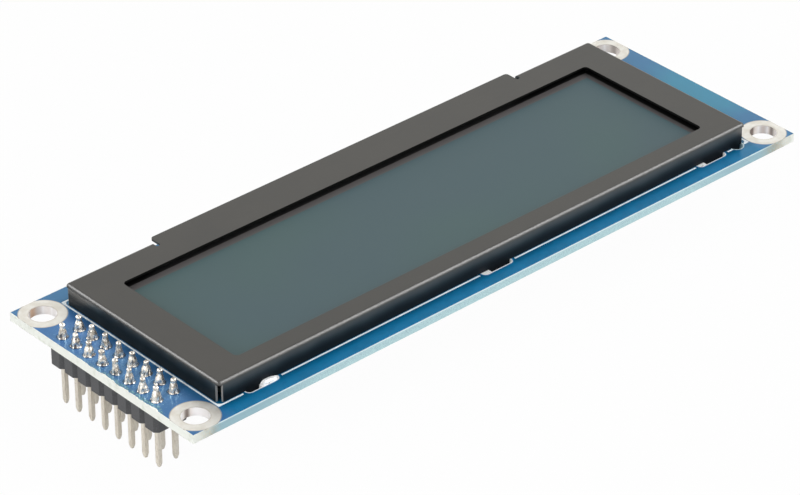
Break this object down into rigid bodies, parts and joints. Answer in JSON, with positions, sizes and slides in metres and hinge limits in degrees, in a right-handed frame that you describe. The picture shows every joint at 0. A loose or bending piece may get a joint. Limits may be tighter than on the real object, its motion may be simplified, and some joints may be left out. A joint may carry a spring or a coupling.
{
  "type": "oled display module",
  "caption": "Oled display module: long blue circuit board with a black folded metal bezel, a recessed display panel, a pin header under one short edge and corner mounting holes.",
  "frame": {"origin": "centre of the four corner mounting holes, on the board's top face", "axes": "+X along the board, from the header end to the far end; +Y across it, to the long side where the flex leaves the panel; +Z out of the display"},
  "size_m": [0.1012, 0.0346, 0.0124],
  "materials": {
    "blue_board": "glossy blue solder mask over a glass-epoxy board",
    "white_print": "white screen print",
    "black_bezel": "satin black coated sheet steel",
    "tinned_land": "satin tin",
    "solder": "uneven bright solder",
    "tinned_pin": "satin tin over brass",
    "tinned_terminal": "satin tin",
    "panel_glass": "clear glass",
    "polarizer": "smooth grey-green film",
    "foam_tape": "matt black foam",
    "amber_flex": "amber polyimide film",
    "chip_black": "matt black moulding",
    "black_housing": "matt black moulding",
    "capacitor_ceramic": "tan ceramic",
    "resistor_black": "dark ceramic",
    "ferrite": "matt ferrite"
  },
  "bodies": {
    "root": {"bezel": "black_bezel", "capacitors": "capacitor_ceramic", "circuit_board": "blue_board", "diode": "chip_black", "driver_chip": "chip_black", "flex_contacts": "solder", "flex_ribbon": "amber_flex", "front_glass": "panel_glass", "header_housing": "black_housing", "header_pin_01": "tinned_pin", "header_pin_02": "tinned_pin", "header_pin_03": "tinned_pin", "header_pin_04": "tinned_pin", "header_pin_05": "tinned_pin", "header_pin_06": "tinned_pin", "header_pin_07": "tinned_pin", "header_pin_08": "tinned_pin", "header_pin_09": "tinned_pin", "header_pin_10": "tinned_pin", "header_pin_11": "tinned_pin", "header_pin_12": "tinned_pin", "header_pin_13": "tinned_pin", "header_pin_14": "tinned_pin", "header_pin_15": "tinned_pin", "header_pin_16": "tinned_pin", "inductor": "ferrite", "leg_solder": "solder", "mount_land_1": "tinned_land", "mount_land_2": "tinned_land", "mount_land_3": "tinned_land", "mount_land_4": "tinned_land", "panel_tape": "foam_tape", "part_terminals": "tinned_terminal", "polarizer": "polarizer", "printed_outline": "white_print", "rear_glass": "panel_glass", "regulator": "chip_black", "resistors": "resistor_black", "slot_land_1": "tinned_land", "slot_land_2": "tinned_land", "slot_land_3": "tinned_land", "slot_land_4": "tinned_land", "slot_land_5": "tinned_land", "solder_joint_01": "solder", "solder_joint_02": "solder", "solder_joint_03": "solder", "solder_joint_04": "solder", "solder_joint_05": "solder", "solder_joint_06": "solder", "solder_joint_07": "solder", "solder_joint_08": "solder", "solder_joint_09": "solder", "solder_joint_10": "solder", "solder_joint_11": "solder", "solder_joint_12": "solder", "solder_joint_13": "solder", "solder_joint_14": "solder", "solder_joint_15": "solder", "solder_joint_16": "solder"}
  },
  "joints": []
}
